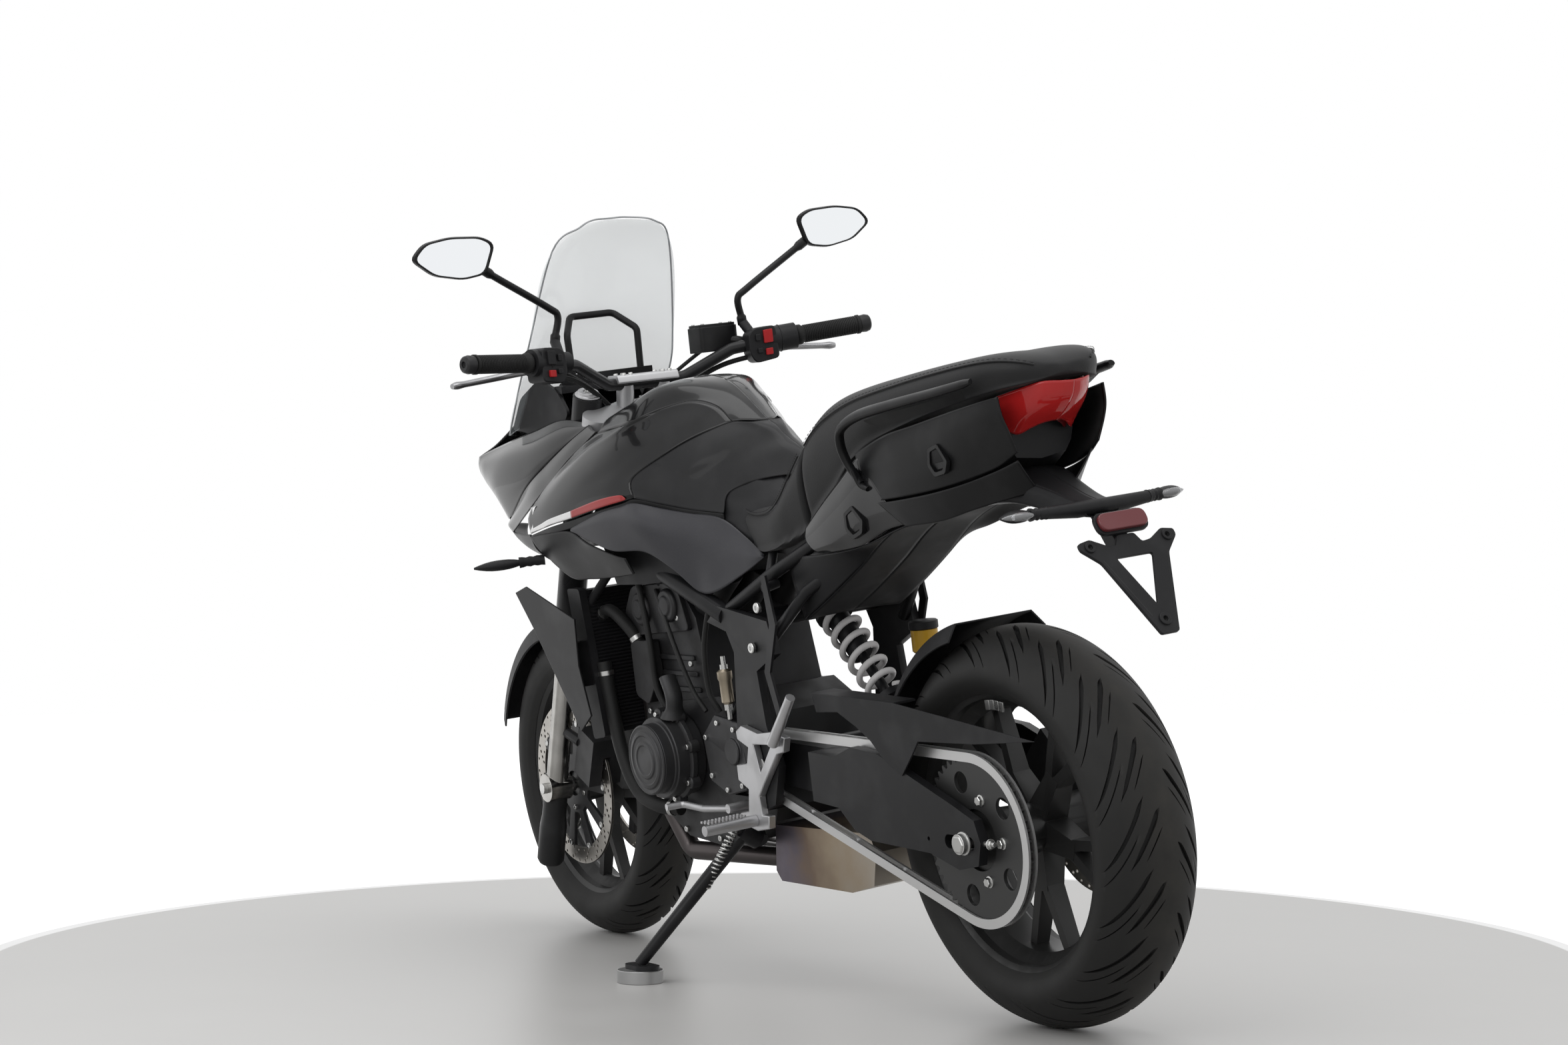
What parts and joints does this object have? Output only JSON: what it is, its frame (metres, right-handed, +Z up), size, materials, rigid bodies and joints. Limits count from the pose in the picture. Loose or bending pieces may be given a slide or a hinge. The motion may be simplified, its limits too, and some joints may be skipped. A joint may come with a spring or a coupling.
{
  "type": "sport touring motorcycle",
  "caption": "Sport touring motorcycle leaning on its side stand, with steering, turning wheels and a folding stand.",
  "frame": {"origin": "on the ground under the middle of the leaned machine's bounding box", "axes": "+X forward along the machine, +Y to its left, +Z up; the machine leans 7.9 degrees to the left on its stand"},
  "size_m": [2.0864, 0.927, 1.3738],
  "materials": {
    "black_paint": "gloss",
    "grey_panel": "satin",
    "black_plastic": "satin grained",
    "black_frame": "satin",
    "dark_metal": "satin",
    "grey_metal": "satin",
    "black_alloy": "satin",
    "bright_steel": "brushed",
    "fork_metal": "polished",
    "fork_black": "satin",
    "spring": "satin",
    "tyre": "matt",
    "rubber": "matt",
    "seat_cover": "grained vinyl",
    "clear_screen": "clear",
    "lamp_lens": "clear",
    "red_lens": "clear red",
    "mirror": "mirror",
    "exhaust_steel": "heat stained",
    "puck_steel": "brushed"
  },
  "bodies": {
    "chassis": {"main_frame": "black_frame", "subframe": "black_frame", "engine": "dark_metal", "engine_covers": "dark_metal", "radiator": "dark_metal", "radiator_shrouds": "black_plastic", "exhaust": "exhaust_steel", "fuel_tank": "black_paint", "tank_side_panels": "black_paint", "lower_side_panels": "grey_panel", "nose_fairing": "black_paint", "headlights": "lamp_lens", "windscreen": "clear_screen", "screen_adjuster": "black_frame", "instrument_panel": "black_plastic", "rider_seat": "seat_cover", "pillion_seat": "seat_cover", "tail_panels": "black_plastic", "grab_rails": "black_plastic", "tail_light": "red_lens", "plate_bracket": "black_plastic", "indicators": "lamp_lens", "swingarm": "black_frame", "rear_axle": "grey_metal", "shock_absorber": "fork_metal", "shock_spring": "spring", "chain_guard": "black_plastic", "rear_hugger": "black_plastic", "drive_chain": "bright_steel", "footpeg_hangers": "grey_metal", "footpegs": "grey_metal", "foot_controls": "grey_metal", "rear_brake": "black_alloy", "stand_bracket": "black_frame"},
    "steering": {"yokes": "grey_metal", "fork_outers": "fork_black", "fork_inners": "fork_metal", "front_axle": "grey_metal", "front_mudguard": "black_paint", "front_calipers": "black_alloy", "handlebar": "fork_black", "grips": "rubber", "hand_controls": "black_plastic", "levers": "grey_metal", "brake_reservoir": "black_plastic", "mirrors": "black_plastic", "mirror_glass": "mirror"},
    "front_wheel": {"front_rim": "black_alloy", "front_tyre": "tyre", "front_discs": "bright_steel"},
    "rear_wheel": {"rear_rim": "black_alloy", "rear_tyre": "tyre", "rear_sprocket": "black_alloy", "rear_disc": "bright_steel"},
    "side_stand": {"side_stand": "black_frame", "stand_puck": "puck_steel"}
  },
  "joints": [
    {"name": "steering", "type": "hinge", "parent": "chassis", "child": "steering", "pos_m": [0.45598, -0.05375, 0.89377], "axis": [-0.3923, 0.1264, 0.9111], "range_deg": [-31, 35]},
    {"name": "front_wheel_spin", "type": "hinge", "parent": "steering", "child": "front_wheel", "pos_m": [0.74335, -0.13744, 0.29787], "axis": [0.0321, 0.9918, -0.1238], "continuous": true},
    {"name": "rear_wheel_spin", "type": "hinge", "parent": "chassis", "child": "rear_wheel", "pos_m": [-0.67463, -0.13435, 0.31291], "axis": [0, 0.9905, -0.1374], "continuous": true},
    {"name": "side_stand", "type": "hinge", "parent": "chassis", "child": "side_stand", "pos_m": [-0.00263, -0.00077, 0.25702], "axis": [0, 0.891, 0.454], "range_deg": [0, 100]}
  ]
}
